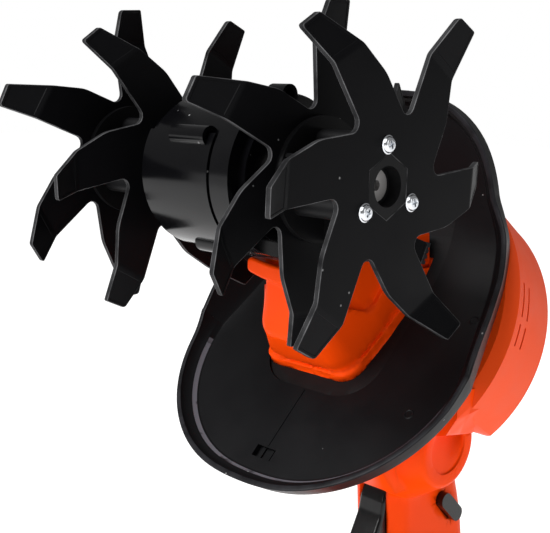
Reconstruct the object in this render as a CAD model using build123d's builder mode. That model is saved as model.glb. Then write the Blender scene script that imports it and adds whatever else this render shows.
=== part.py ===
from build123d import *
from math import asin, cos, degrees, radians, sin
import os

os.makedirs("parts", exist_ok=True)

# Hand-held cordless tiller. Millimetres, +Z up, -Y forward, +X the operator's left-hand side.
# The origin is the middle of the battery pack's underside, on which the tool stands.
# The head (tines, gear case, guard, motor) is drawn from the tine axis, which runs along X.

# ---- where the head sits over the pack
tine_height = 382.0
tine_reach = 125.0

# ---- star tine wheels
arm_count = 6
star_thickness = 2.6
inner_star_x = 52.9
outer_star_x = 94.7
arm_root_width = 26.2
arm_bend_reach = 63.9
arm_bend_angle = 28.0
arm_mid_lean = 9.0
gullet_radius = 4.4
tip_corner_radius = 1.6
hex_corner_radius = 15.0
outer_turn = 6.0
inner_turn = 34.9
far_hub_turn = 4.7

# ---- shaft, hubs and screws
shaft_radius = 7.5
shaft_end_depth = 7.0
centre_hole_radius = 2.5
centre_hole_depth = 12.0
running_clearance = 0.05
seat_clearance = 0.15
hub_bore_radius = 9.3
hub_tube_radius = 13.0
hub_disc_radius = 30.0
hub_disc_thickness = 3.0
hub_rib_thickness = 2.0
collar_radius = 14.0
collar_gap = 0.6
screw_circle = 18.7
screw_turn = 95.0
screw_count = 3
screw_post_radius = 5.2
screw_radius = 2.0
screw_length = 16.0
screw_head_radius = 4.1
screw_head_height = 2.4

# ---- gear case
case_radius = 40.5
case_upper_radius = 37.5
case_ledge_angle = 150.0
case_end_radius = 33.0
case_half_length = 38.0
case_far_start = -29.5
case_split = 19.5
groove_width = 1.2
groove_radius = 38.6
near_ring_radius = 39.8
near_ring_end = 33.5
boss_radius = 5.2
boss_circle = 39.0
boss_hole_radius = 3.2
boss_hole_depth = 9.0
throat_half_width = 22.0
skirt_half_width = 30.0
throat_rear = 78.0

# ---- guard
guard_datum_run = -47.2
guard_thickness = 3.0
guard_rim_height = 11.0
guard_floor_distance = 125.4
guard_floor_angle = 44.6
guard_lower_end = -64.5
guard_lower_half_width = 97.0
guard_lower_corner = 88.0
guard_shoulder_run = 24.0
guard_fold_half_width = 77.8
guard_fold_run = 78.0
guard_fold_radius = 74.0
guard_lean = 8.0
guard_waist_height = -14.0
guard_waist_half_width = 67.4
guard_waist_corner = 25.0
guard_top = 42.0
guard_top_half_width = 61.3
guard_top_corner = 50.0
guard_split_height = -37.0
rim_wall = 3.6
opening_half_width = 41.0
opening_low = -2.0
opening_high = 122.0
opening_corner = 24.0
clip_slot_width = 14.0
clip_slot_height = 7.0
clip_slot_run = -46.0
collar_back = 0.2
collar_front = 1.2
collar_clearance = 0.2

# ---- neck, shoulder and grip
seat_gap = 0.1
neck_low_run = 6.5
neck_low_half_width = 26.2
neck_full_run = 45.0
neck_half_width = 31.5
neck_top_run = 135.0
neck_draft = 3.0
neck_front = 42.0
neck_mouth = -54.0
neck_foot_round = 13.0
neck_corner = 14.0
neck_front_half_width = 28.4
neck_edge_round = 9.0
neck_reach = 110.0
neck_sink = 1.0
bead_width = 2.5
bead_low = 1.4
bead_high = 6.2
bead_end_run = 62.0
recess_depth = 3.5
insert_depth = 2.2
insert_lean = -13.0
insert_groove_count = 3
insert_groove_pitch = 3.4
insert_groove_width = 1.2
insert_groove_depth = 0.9
core_half_width = 28.0
lip_half_width = 32.0
lip_front = 35.0
lip_depth = 10.0
lip_middle_top = -54.0
lip_middle_low = -64.5
lip_end_top = -50.5
lip_end_low = -59.5
lip_corner = 3.5
lip_round = 2.0
pocket_clearance = 0.5
flange_half_width = 46.0
flange_thickness = 8.0
flange_low = -16.0
flange_high = 70.0
shoulder_base_x = 19.0
shoulder_base_radius = 42.0
lobe_x = 46.0
lobe_radius = 24.0
lobe_round = 4.0
wing_root_x = 44.0
wing_middle_x = 70.0
wing_tip_x = 82.0
disc_radius = 16.3
disc_recess = 1.2
tang_half_width = 17.0
grip_edge_radius = 13.0
case_hole_radius = 3.6
case_screw_radius = 3.2
case_screw_height = 2.4
case_screw_slot = 1.1
trigger_half_width = 10.0
trigger_edge = 2.2
trigger_top = -196.0
trigger_clearance = 0.3
slot_rear = 128.0
slot_low = -276.0
button_length = 27.0
button_width = 10.0
button_lean = -43.7
button_y = 168.5
button_z = -218.5
button_inner = 15.0
button_outer = 24.5

# ---- motor drum
drum_axis_angle = -25.0
drum_axis_drop = -29.5
drum_front = 136.9
drum_band_end = 141.0
drum_rear = 186.0
drum_front_radius = 85.8
drum_band_radius = 92.5
drum_rear_radius = 86.5
drum_wall = 2.8
drum_flat = 51.0
drum_flat_corner = 20.0
cover_thickness = 5.0
cover_edge = 4.0
intake_width = 3.0
intake_pitch = 7.0
intake_count = 9
motor_radius = 27.0
motor_length = 46.0
motor_gap = 0.3
vent_width = 1.8
vent_depth = 12.0

# ---- battery foot and pack
pack_length = 142.0
pack_width = 84.0
pack_height = 62.0
pack_corner = 9.0
pack_edge = 2.5
pack_seam_height = 40.0
pack_seam_width = 1.4
pack_seam_depth = 1.2
pack_rib_count = 5
pack_rib_pitch = 9.0
pack_rib_width = 4.0
pack_rib_length = 22.0
pack_rib_depth = 1.5
pack_rib_reach = 20.0
foot_length = 120.0
foot_width = 66.0
foot_height = 22.0
foot_middle = 10.0
foot_corner = 14.0
rail_width = 40.0
rail_height = 6.0
rail_length = 92.0
rail_clearance = 0.3
latch_width = 30.0
latch_height = 13.0
latch_depth = 7.0
latch_stand = 2.0

side = Plane(origin=(0, -tine_reach, tine_height), x_dir=(0, 1, 0), z_dir=(1, 0, 0))


def head_point(y, z):
    """A point of the middle plane, given from the tine axis: y rearwards, z upwards."""
    return (0, y - tine_reach, z + tine_height)


def along_x(radius, start, end):
    """A round bar about the tine axis between two places along X."""
    with BuildPart() as bar:
        with BuildSketch(side.offset(start)):
            Circle(radius)
        extrude(amount=end - start)
    return bar.part


# ---- star tine wheels: six sickle arms, tips bent in and out by turns
star_half = star_thickness / 2
gullet_reach = arm_root_width / sin(radians(360 / arm_count))
# columns: distance along the straight edge, distance behind it, corner radius
arm_corners = (
    (42.6, 25.8, 24.0),
    (61.5, 20.0, 30.0),
    (81.7, 12.6, tip_corner_radius),
    (82.8, 0.0, tip_corner_radius),
)


def star_outline(turn):
    points = []
    radii = []
    for arm in range(arm_count):
        lean = radians(turn + arm * 360 / arm_count)
        for reach, behind, corner in arm_corners:
            points.append((reach * cos(lean) + behind * sin(lean), reach * sin(lean) - behind * cos(lean)))
            radii.append(corner)
        points.append((gullet_reach * cos(lean), gullet_reach * sin(lean)))
        radii.append(gullet_radius)
    return points, radii


def strip_points(bend):
    """The edge-on outline of one arm: flat from the axis to the bend line, then turned by the angle."""
    run = 26.0
    c = cos(radians(bend))
    s = sin(radians(bend))
    mitre = (-s / (1 + c), 1.0)
    path = ((0, 0), (arm_bend_reach, 0), (arm_bend_reach + run * c, run * s))
    across = ((0, 1), mitre, (-s, c))
    upper = [(p[0] + star_half * a[0], p[1] + star_half * a[1]) for p, a in zip(path, across)]
    lower = [(p[0] - star_half * a[0], p[1] - star_half * a[1]) for p, a in zip(path, across)]
    return upper + lower[::-1]


def star_wheel(mid_x, arm_turn, hub_turn):
    centre = side.offset(mid_x)
    turn = arm_turn + hub_turn
    points, radii = star_outline(turn)
    with BuildPart() as prism:
        with BuildSketch(centre):
            with BuildLine():
                FilletPolyline(*points, radius=radii, close=True)
            make_face()
        extrude(amount=20, both=True)
    with BuildPart() as star:
        for arm in range(arm_count):
            lean = radians(turn + arm * 360 / arm_count - arm_mid_lean)
            bend = arm_bend_angle if arm % 2 == 0 else -arm_bend_angle
            edge_on = Plane(
                origin=centre.origin,
                x_dir=(0, cos(lean), sin(lean)),
                z_dir=(0, -sin(lean), cos(lean)),
            )
            with BuildSketch(edge_on):
                with BuildLine():
                    Polyline(*strip_points(bend), close=True)
                make_face()
            extrude(amount=arm_root_width * 1.15, both=True)
        add(prism.part, mode=Mode.INTERSECT)
        with BuildSketch(centre.offset(-star_thickness)):
            RegularPolygon(hex_corner_radius, 6, rotation=90 + hub_turn)
            with PolarLocations(screw_circle, screw_count, start_angle=screw_turn + hub_turn):
                Circle(screw_radius + seat_clearance)
        extrude(amount=star_thickness * 2, mode=Mode.SUBTRACT)
    return star.part


# columns: node name, place along X, turn of the arms on the hub, turn of the hub
star_table = (
    ("star_near_outer", outer_star_x, outer_turn, 0),
    ("star_near_inner", inner_star_x, inner_turn, 0),
    ("star_far_inner", -inner_star_x, outer_turn, far_hub_turn),
    ("star_far_outer", -outer_star_x, inner_turn, far_hub_turn),
)
for node, mid_x, arm_turn, hub_turn in star_table:
    wheel = star_wheel(mid_x, arm_turn, hub_turn)
    wheel.label = node
    export_step(wheel, f"parts/{node}.step")

# ---- tine shaft: one bar through the gear case, with a collar each side
shaft_end = outer_star_x + star_half - shaft_end_depth
collar_start = case_half_length + collar_gap
collar_end = inner_star_x - star_half - hub_disc_thickness - collar_gap
with BuildPart() as tine_shaft:
    with BuildSketch(side.offset(-shaft_end)):
        Circle(shaft_radius)
    extrude(amount=2 * shaft_end)
    for start in (collar_start, -collar_end):
        with BuildSketch(side.offset(start)):
            Circle(collar_radius)
        extrude(amount=collar_end - collar_start)
    for start in (shaft_end - centre_hole_depth, -shaft_end):
        with BuildSketch(side.offset(start)):
            Circle(centre_hole_radius)
        extrude(amount=centre_hole_depth, mode=Mode.SUBTRACT)
tine_shaft.part.label = "tine_shaft"
export_step(tine_shaft.part, "parts/tine_shaft.step")


# ---- hubs: moulded spacers that carry a star at each end on a hexagon
def hub(sign, turn):
    inner_face = inner_star_x - star_half
    outer_face = outer_star_x + star_half
    disc_starts = (
        inner_star_x - star_half - seat_clearance - hub_disc_thickness,
        inner_star_x + star_half + seat_clearance,
        outer_star_x - star_half - seat_clearance - hub_disc_thickness,
    )
    inner_end = disc_starts[0]

    def reach(start, end):
        low = start if sign > 0 else -end
        return side.offset(low), end - start

    with BuildPart() as body:
        for start in disc_starts[1:]:
            plane, length = reach(start, start + hub_disc_thickness)
            with BuildSketch(plane):
                Circle(hub_disc_radius)
            extrude(amount=length)
        plane, length = reach(inner_end, inner_face + hub_disc_thickness)
        with BuildSketch(plane):
            RegularPolygon(hex_corner_radius - seat_clearance, 6, rotation=90 + turn)
        extrude(amount=length)
        plane, length = reach(disc_starts[1], disc_starts[2])
        with BuildSketch(plane):
            Circle(hub_tube_radius)
            with PolarLocations(screw_circle, screw_count, start_angle=screw_turn + turn):
                Circle(screw_post_radius)
            with PolarLocations(hub_disc_radius / 2, screw_count, start_angle=screw_turn + turn + 180 / screw_count):
                Rectangle(hub_disc_radius - hub_rib_thickness, hub_rib_thickness)
        extrude(amount=length)
        plane, length = reach(disc_starts[2], outer_face - seat_clearance)
        with BuildSketch(plane):
            RegularPolygon(hex_corner_radius - seat_clearance, 6, rotation=90 + turn)
        extrude(amount=length)
        plane, length = reach(inner_end - 1, outer_face + 1)
        with BuildSketch(plane):
            Circle(shaft_radius + running_clearance)
        extrude(amount=length, mode=Mode.SUBTRACT)
        plane, length = reach(shaft_end, outer_face + 1)
        with BuildSketch(plane):
            Circle(hub_bore_radius)
        extrude(amount=length, mode=Mode.SUBTRACT)
        for face, inward in ((outer_star_x, -1), (inner_star_x, 1)):
            start = face - screw_length if inward < 0 else face
            plane, length = reach(start, start + screw_length)
            with BuildSketch(plane):
                with PolarLocations(screw_circle, screw_count, start_angle=screw_turn + turn):
                    Circle(screw_radius + running_clearance)
            extrude(amount=length, mode=Mode.SUBTRACT)
    return body.part


# ---- pan-head screws through the stars into the hub's posts
def screws(face_x, sign, turn):
    """Three screws on one star; sign is the side that the heads face, turn is the hub's."""
    head_start = face_x + sign * (star_half + running_clearance)
    with BuildPart() as set_of_three:
        with BuildSketch(side.offset(head_start)):
            with PolarLocations(screw_circle, screw_count, start_angle=screw_turn + turn):
                Circle(screw_head_radius)
        extrude(amount=sign * screw_head_height, taper=18)
        with BuildSketch(side.offset(head_start)):
            with PolarLocations(screw_circle, screw_count, start_angle=screw_turn + turn):
                Circle(screw_radius)
        extrude(amount=-sign * (screw_length - 1))
    return set_of_three.part


for node, sign, turn in (("hub_near", 1, 0), ("hub_far", -1, far_hub_turn)):
    spacer = hub(sign, turn)
    spacer.label = node
    export_step(spacer, f"parts/{node}.step")
# columns: node name, star's place along X, side the heads face, turn of the hub
screw_table = (
    ("screws_near_outer", outer_star_x, 1, 0),
    ("screws_near_inner", inner_star_x, -1, 0),
    ("screws_far_inner", -inner_star_x, 1, far_hub_turn),
    ("screws_far_outer", -outer_star_x, -1, far_hub_turn),
)
for node, face_x, sign, turn in screw_table:
    trio = screws(face_x, sign, turn)
    trio.label = node
    export_step(trio, f"parts/{node}.step")

# ---- guard: a plate folded towards the tines, with a rim all round
floor_run = (cos(radians(guard_floor_angle)), sin(radians(guard_floor_angle)))
floor_out = (-floor_run[1], floor_run[0])
rear_distance = guard_floor_distance + guard_thickness


def floor_point(run, out):
    """From the foot of the tine axis on the guard's back: run up the floor, out towards the tines."""
    y = -floor_out[0] * rear_distance + floor_run[0] * run + floor_out[0] * out
    z = -floor_out[1] * rear_distance + floor_run[1] * run + floor_out[1] * out
    return (y, z)


fold_start = floor_point(guard_datum_run + guard_fold_run, 0)
fold_centre = (
    fold_start[0] + floor_out[0] * guard_fold_radius,
    fold_start[1] + floor_out[1] * guard_fold_radius,
)
lean_out = (-cos(radians(guard_lean)), -sin(radians(guard_lean)))
lean_run = (-sin(radians(guard_lean)), cos(radians(guard_lean)))
top_run = (guard_top + 14 - fold_centre[1] - guard_fold_radius * sin(radians(guard_lean))) / lean_run[1]


def band(low, high):
    """Side outline of the guard's sheet between two heights above its back."""
    outline = []
    for out in (low, high):
        radius = guard_fold_radius - out
        bottom = floor_point(guard_datum_run + guard_lower_end - 12, out)
        start = (fold_centre[0] - floor_out[0] * radius, fold_centre[1] - floor_out[1] * radius)
        middle_angle = radians((guard_floor_angle - 90 + guard_lean) / 2)
        middle = (fold_centre[0] + radius * cos(middle_angle), fold_centre[1] + radius * sin(middle_angle))
        end = (fold_centre[0] - lean_out[0] * radius, fold_centre[1] - lean_out[1] * radius)
        top = (end[0] + lean_run[0] * top_run, end[1] + lean_run[1] * top_run)
        outline.append((bottom, start, middle, end, top))
    back, front = outline
    with BuildSketch(side) as sheet:
        with BuildLine():
            Line(back[0], back[1])
            ThreePointArc(back[1], back[2], back[3])
            Line(back[3], back[4])
            Line(back[4], front[4])
            Line(front[4], front[3])
            ThreePointArc(front[3], front[2], front[1])
            Line(front[1], front[0])
            Line(front[0], back[0])
        make_face()
    return sheet.sketch


split_sine = (guard_split_height - fold_centre[1]) / guard_fold_radius
split_angle = degrees(asin(split_sine))
split_y = fold_centre[0] + guard_fold_radius * cos(radians(split_angle))
split_run = (
    (split_y - fold_start[0]) * floor_run[0] + (guard_split_height - fold_start[1]) * floor_run[1] + guard_fold_run
)
floor_plane = Plane(
    origin=head_point(*floor_point(guard_datum_run, 0)),
    x_dir=(1, 0, 0),
    z_dir=(0, floor_out[0], floor_out[1]),
)
upright_plane = Plane(origin=head_point(150, 0), x_dir=(1, 0, 0), z_dir=(0, -1, 0))
split_plane = Plane(
    origin=head_point(*fold_centre),
    x_dir=(1, 0, 0),
    z_dir=(0, -sin(radians(split_angle)), cos(radians(split_angle))),
)


def beyond(start, end, share):
    """A point on the line from start to end, carried past the end by a share of its length."""
    return tuple(a + (b - a) * (1 + share) for a, b in zip(start, end))


def both_sides(points):
    """A closed outline from the points of its right-hand side, listed from the bottom up."""
    return list(points) + [(-x, y) for x, y in reversed(points)]


shoulder_corner_point = (guard_lower_half_width, guard_shoulder_run)
lower_outline = both_sides((
    (guard_lower_half_width, guard_lower_end),
    shoulder_corner_point,
    beyond(shoulder_corner_point, (guard_fold_half_width, split_run), 0.2),
))
waist_point = (guard_waist_half_width, guard_waist_height)
upper_outline = both_sides((
    beyond(waist_point, (guard_fold_half_width, guard_split_height), 1),
    waist_point,
    (guard_top_half_width, guard_top),
))


def guard_limits(inset):
    """The space inside the guard's outline, less an inset, as two prisms that meet on the fold."""
    with BuildPart() as lower:
        with BuildSketch(floor_plane) as outline:
            with BuildLine():
                Polyline(*lower_outline, close=True)
            make_face()
            fillet(outline.vertices().group_by(Axis.Y)[0], guard_lower_corner)
            if inset > 0:
                offset(amount=-inset, mode=Mode.REPLACE)
        extrude(amount=90, both=True)
        split(bisect_by=split_plane, keep=Keep.BOTTOM)
    with BuildPart() as upper:
        with BuildSketch(upright_plane) as outline:
            with BuildLine():
                Polyline(*upper_outline, close=True)
            make_face()
            fillet(outline.vertices().group_by(Axis.Y)[-1], guard_top_corner)
            fillet(outline.vertices().group_by(Axis.Y)[1], guard_waist_corner)
            if inset > 0:
                offset(amount=-inset, mode=Mode.REPLACE)
        extrude(amount=90, both=True)
        split(bisect_by=split_plane, keep=Keep.TOP)
    return lower.part, upper.part


def guard_solid(low, high, inset):
    lower, upper = guard_limits(inset)
    pieces = []
    for limit in (lower, upper):
        with BuildPart() as piece:
            extrude(band(low, high), amount=guard_lower_half_width + 10, both=True)
            add(limit, mode=Mode.INTERSECT)
        pieces.append(piece.part)
    with BuildPart() as joined:
        add(pieces[0])
        add(pieces[1])
    return joined.part


def opening_form(grow):
    """A block along the floor's normal, the shape of the guard's opening, grown or shrunk."""
    with BuildPart() as form:
        with BuildSketch(floor_plane) as outline:
            with Locations((0, (opening_high + opening_low) / 2)):
                Rectangle(2 * (opening_half_width + grow), opening_high - opening_low + 2 * grow)
            fillet(outline.vertices().group_by(Axis.Y)[0], opening_corner)
        extrude(amount=60, both=True)
    return form.part


# the rim's outward flare along the sides
# columns: run up the floor, half width at the foot, half width at the top, height
flare_table = (
    (-34.4, 75.0, 78.4, 11.0),
    (-19.3, 85.6, 89.9, 11.0),
    (-2.4, 93.0, 97.0, 11.0),
    (13.5, 96.2, 99.0, 12.5),
    (26.0, 96.0, 99.5, 15.5),
    (35.0, 94.3, 99.5, 18.5),
    (47.0, 92.0, 100.0, 22.5),
    (60.0, 89.2, 100.0, 22.5),
    (74.0, 86.0, 86.4, 9.0),
)


def flare_form(sign):
    with BuildPart() as form:
        for run, foot, top, height in flare_table:
            spot = Plane(
                origin=head_point(*floor_point(guard_datum_run + run, 0)),
                x_dir=(1, 0, 0),
                z_dir=(0, -floor_run[0], -floor_run[1]),
            )
            with BuildSketch(spot):
                with BuildLine():
                    Polyline(
                        (sign * foot, 0.4),
                        (sign * top, height),
                        (sign * (top - rim_wall), height),
                        (sign * (foot - rim_wall), guard_thickness - 0.4),
                        close=True,
                    )
                make_face()
        loft(ruled=True)
    return form.part


with BuildPart() as guard:
    add(guard_solid(0, guard_rim_height, 0))
    add(guard_solid(guard_thickness, guard_rim_height + 8, rim_wall), mode=Mode.SUBTRACT)
    add(flare_form(1))
    add(flare_form(-1))
    add(opening_form(0), mode=Mode.SUBTRACT)
    with BuildSketch(floor_plane):
        with Locations((0, clip_slot_run)):
            Rectangle(clip_slot_width, clip_slot_height)
    extrude(amount=guard_thickness, mode=Mode.SUBTRACT)
guard.part.label = "guard"
export_step(guard.part, "parts/guard.step")

# ---- gear case: two-part moulded drum round the tine shaft, with screw bosses on its rim
# columns: start along X, end along X, radius
case_steps = (
    (-case_half_length, case_far_start, case_end_radius),
    (case_far_start, case_split, case_upper_radius),
    (case_split, case_split + groove_width, groove_radius),
    (case_split + groove_width, near_ring_end, near_ring_radius),
    (near_ring_end, case_half_length, case_end_radius),
)
# columns: angle about X, start along X, end along X
boss_table = (
    (152, -9.8, 15.3),
    (245, -9.8, 15.3),
    (92, 23.0, 34.5),
)
# side outline of the throat that runs from the case into the neck
throat_points = (
    (10, 30),
    (throat_rear, -28),
    (throat_rear - 16, -66),
    (44, -50),
    (30, -44),
    (14, -34),
)
skirt_points = (
    (28, -38),
    (28, -47),
    (31, -49.5),
    (41.2, -49.5),
    (41.2, -38),
)
case_seam = case_split + groove_width / 2


def side_prism(points, half_width):
    with BuildPart() as prism:
        with BuildSketch(side):
            with BuildLine():
                Polyline(*points, close=True)
            make_face()
        extrude(amount=half_width, both=True)
    return prism.part


def throat_form(grow):
    with BuildPart() as form:
        with BuildSketch(side):
            with BuildLine():
                Polyline(*throat_points, close=True)
            make_face()
            if grow > 0:
                offset(amount=grow, mode=Mode.REPLACE)
        extrude(amount=throat_half_width + grow, both=True)
    return form.part


with BuildPart() as gear_case:
    for start, end, radius in case_steps:
        with BuildSketch(side.offset(start)):
            Circle(radius)
        extrude(amount=end - start)
    with BuildSketch(side.offset(case_far_start)):
        Circle(case_radius)
        with PolarLocations(case_radius, 1, start_angle=case_ledge_angle - 90):
            Rectangle(2 * case_radius, 4 * case_radius, mode=Mode.SUBTRACT)
    extrude(amount=case_split - case_far_start)
    for angle, start, end in boss_table:
        with BuildSketch(side.offset(start)):
            with PolarLocations(boss_circle, 1, start_angle=angle):
                Circle(boss_radius)
        extrude(amount=end - start)
    add(throat_form(0))
    add(side_prism(skirt_points, skirt_half_width))
    with BuildSketch(side.offset(-case_half_length - 1)):
        Circle(shaft_radius + running_clearance)
    extrude(amount=2 * case_half_length + 2, mode=Mode.SUBTRACT)
    for angle, start, end in boss_table:
        with BuildSketch(side.offset(end)):
            with PolarLocations(boss_circle, 1, start_angle=angle):
                Circle(boss_hole_radius)
        extrude(amount=-boss_hole_depth, mode=Mode.SUBTRACT)
for node, keep in (("gear_case_near", Keep.TOP), ("gear_case_far", Keep.BOTTOM)):
    with BuildPart() as case_half:
        add(gear_case.part)
        split(bisect_by=side.offset(case_seam), keep=keep)
    case_half.part.label = node
    export_step(case_half.part, f"parts/{node}.step")

# ---- motor drum, turned about an axis that slopes down and back from the neck
axis_dir = (0, cos(radians(drum_axis_angle)), sin(radians(drum_axis_angle)))
axis_up = (0, -sin(radians(drum_axis_angle)), cos(radians(drum_axis_angle)))
drum_origin = head_point(axis_up[1] * drum_axis_drop, axis_up[2] * drum_axis_drop)
drum_side = Plane(origin=drum_origin, x_dir=axis_dir, z_dir=(1, 0, 0))
drum_axis = Axis(drum_origin, axis_dir)


def drum_cross(reach):
    """A plane square to the drum's axis; its local y points downwards."""
    return Plane(origin=drum_side.from_local_coords((reach, 0, 0)), x_dir=(1, 0, 0), z_dir=axis_dir)


def drum_form(profile, grow):
    """A turned form about the drum's axis, cut by the drum's flat underside; all grown by an amount."""
    first = profile[0][0]
    last = profile[-1][0]
    with BuildPart() as form:
        with BuildSketch(drum_side):
            with BuildLine():
                Polyline((first, 0), *profile, (last, 0), close=True)
            make_face()
        revolve(axis=drum_axis)
        with BuildSketch(drum_cross(first)) as limit:
            Circle(drum_band_radius + grow)
            with Locations((0, drum_flat + grow + drum_band_radius)):
                Rectangle(4 * drum_band_radius, 2 * drum_band_radius, mode=Mode.SUBTRACT)
            fillet(limit.vertices().group_by(Axis.Y)[-1], drum_flat_corner + grow)
        extrude(amount=last - first, mode=Mode.INTERSECT)
    return form.part


# columns: distance along the axis, radius
drum_profile = (
    (drum_front, drum_front_radius),
    (drum_band_end, drum_band_radius),
    (drum_rear, drum_rear_radius),
)
drum_inside = (
    (drum_front + drum_wall, drum_front_radius - drum_wall / 2),
    (drum_band_end, drum_band_radius - drum_wall),
    (drum_rear + 1, drum_rear_radius - drum_wall),
)
# columns: distance along the axis, start angle, sweep
vent_table = (
    (147.5, 8.5, 12.5),
    (155.5, 8.5, 12.5),
    (147.5, -1.8, 7.8),
    (155.5, -1.8, 7.8),
)
with BuildPart() as motor_drum:
    add(drum_form(drum_profile, 0))
    add(drum_form(drum_inside, -drum_wall), mode=Mode.SUBTRACT)
    for reach, start, sweep in vent_table:
        for first in (start, 180 - start - sweep):
            with BuildSketch(drum_cross(reach - vent_width / 2)):
                with BuildLine():
                    outer = CenterArc((0, 0), drum_band_radius + 4, -first - sweep, sweep)
                    inner = CenterArc((0, 0), drum_band_radius - vent_depth, -first - sweep, sweep)
                    Line(outer @ 0, inner @ 0)
                    Line(outer @ 1, inner @ 1)
                make_face()
            extrude(amount=vent_width, mode=Mode.SUBTRACT)
motor_drum.part.label = "motor_drum"
export_step(motor_drum.part, "parts/motor_drum.step")

cover_start = drum_rear + seat_gap
cover_profile = (
    (cover_start, drum_rear_radius),
    (cover_start + cover_thickness - cover_edge, drum_rear_radius),
    (cover_start + cover_thickness, drum_rear_radius - cover_edge),
)
with BuildPart() as motor_cover:
    add(drum_form(cover_profile, 0))
    with BuildSketch(drum_cross(cover_start)):
        with GridLocations(0, intake_pitch, 1, intake_count):
            SlotOverall(1.2 * drum_flat, intake_width)
    extrude(amount=cover_thickness + 1, mode=Mode.SUBTRACT)
motor_cover.part.label = "motor_cover"
export_step(motor_cover.part, "parts/motor_cover.step")

with BuildPart() as motor:
    with BuildSketch(drum_cross(drum_front + drum_wall + motor_gap)):
        Circle(motor_radius)
    extrude(amount=motor_length)
motor.part.label = "motor"
export_step(motor.part, "parts/motor.step")

# ---- housing: neck through the guard, shoulder under the drum, grip and battery foot, in two halves
foot_top = pack_height + foot_height
space_profile = (
    (drum_front - seat_gap, drum_front_radius + seat_gap),
    (drum_band_end, drum_band_radius + seat_gap),
    (drum_rear, drum_rear_radius + seat_gap),
    (drum_rear + 80, drum_rear_radius + seat_gap),
)
# side outline of the neck: its back and top behind the guard, then the edge of its mouth
neck_back_points = (
    (124.5, -38),
    (126.2, -76.5),
)
neck_mouth_points = (
    (neck_front, neck_mouth),
    (41.7, -22),
    (44, 8),
)
# side outline of the shallow hollow in each of the neck's cheeks
recess_points = (
    (34, -62),
    (48, -70),
    (56, -74),
    (69, -77.3),
    (75, -74.6),
    (84, -64),
    (92, -57.5),
    (130, -57.5),
    (130, 20),
    (34, 20),
)
insert_points = (
    (90, -35.5),
    (123.6, -43.3),
    (118.3, -55.4),
    (90, -48.6),
)
core_points = (
    floor_point(guard_datum_run - 6, -seat_gap),
    (84, -168),
    (104, -192),
    (120, -192),
    (120, -100),
    floor_point(guard_datum_run + 70, -seat_gap),
)
tang_points = (
    (100, -150),
    (104, -192),
    (120, -199),
    (176, -206),
    (141, -152),
    (110, -110),
)
# columns: height from the tine axis, front, rear, half width
grip_sections = (
    (-185.0, 117.0, 178.0, 20.0),
    (-212.0, 118.0, 188.0, 19.5),
    (-245.0, 121.5, 196.0, 19.5),
    (-280.0, 125.0, 195.0, 19.5),
)
# the lobe's middle, and side outlines of the wing that rises from it: on the lobe's face, at the tip
shoulder_middle = (139, -163)
lobe_middle = (129.5, -164)
wing_root_points = (
    (105.5, -152),
    (129, -143),
    (152.5, -159),
    (150, -120),
    (106, -118),
)
wing_middle_points = (
    (92, -142),
    (104, -144),
    (117.5, -146),
    (117, -122),
    (90, -122),
)
wing_tip_points = (
    (84, -128),
    (95, -127.5),
    (105.1, -126.5),
    (104, -114),
    (84, -114),
)
foot_level = foot_top - tine_height
trigger_points = (
    (126, trigger_top),
    (106.6, trigger_top),
    (104.1, -210.6),
    (99.4, -224),
    (95.4, -238),
    (93.4, -250),
    (95, -262),
    (104, -269.5),
    (118, -272),
    (126, -270),
)


# screws that hold the housing's halves together, in holes in the far half's side
# columns: place along Y and Z, and seat along X
housing_screw_table = (
    (66, -99, -21),
    (139, -190, -17),
    (163, -255, -15),
    (92, -306, -24),
    (178, -306, -24),
)


def housing_screws_form(radius, height):
    """One cylinder on each seat, reaching outwards."""
    with BuildPart() as form:
        for y, z, seat_x in housing_screw_table:
            with BuildSketch(side.offset(seat_x)):
                with Locations((y, z)):
                    Circle(radius)
            extrude(amount=-height)
    return form.part


def level_plane(y, z):
    return Plane(origin=head_point(y, z), x_dir=(1, 0, 0), z_dir=(0, 0, 1))


def button_block(start, end, grow):
    """The lock-off button's bar, or the hole it sits in, between two places along X."""
    with BuildPart() as bar:
        with BuildSketch(side.offset(start)):
            with Locations((button_y, button_z)):
                SlotOverall(button_length + 2 * grow, button_width + 2 * grow, rotation=button_lean)
        extrude(amount=end - start)
    return bar.part


def side_face(points, x):
    """A flat face on a plane square to the tine axis, from its side outline."""
    with BuildSketch(side.offset(x)) as face:
        with BuildLine():
            Polyline(*points, close=True)
        make_face()
    return face.sketch


def neck_form(grow):
    """The neck as a drafted column square to the guard's floor, grown at its sides and underside."""
    low_run = guard_datum_run + neck_low_run - grow
    foot_out = (neck_front - floor_point(low_run, 0)[0]) / floor_out[0]
    under_points = (floor_point(low_run, -neck_sink), floor_point(low_run, foot_out))
    low_corner = (neck_low_half_width + grow, neck_low_run - grow)
    full_corner = (neck_half_width + grow, neck_full_run)
    with BuildPart() as form:
        with BuildSketch(side) as outline:
            with BuildLine():
                Polyline(*neck_back_points, *under_points, *neck_mouth_points, close=True)
            make_face()
            fillet(outline.vertices().sort_by(Axis.Y)[1], neck_foot_round)
        extrude(amount=2 * neck_half_width, both=True)
        with BuildSketch(floor_plane.offset(-neck_sink)) as column:
            with BuildLine():
                Polyline(*both_sides((low_corner, full_corner, (full_corner[0], neck_top_run))), close=True)
            make_face()
            fillet(column.vertices().group_by(Axis.Y)[0], neck_corner)
        extrude(amount=neck_reach + neck_sink, taper=neck_draft, mode=Mode.INTERSECT)
    return form.part


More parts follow.
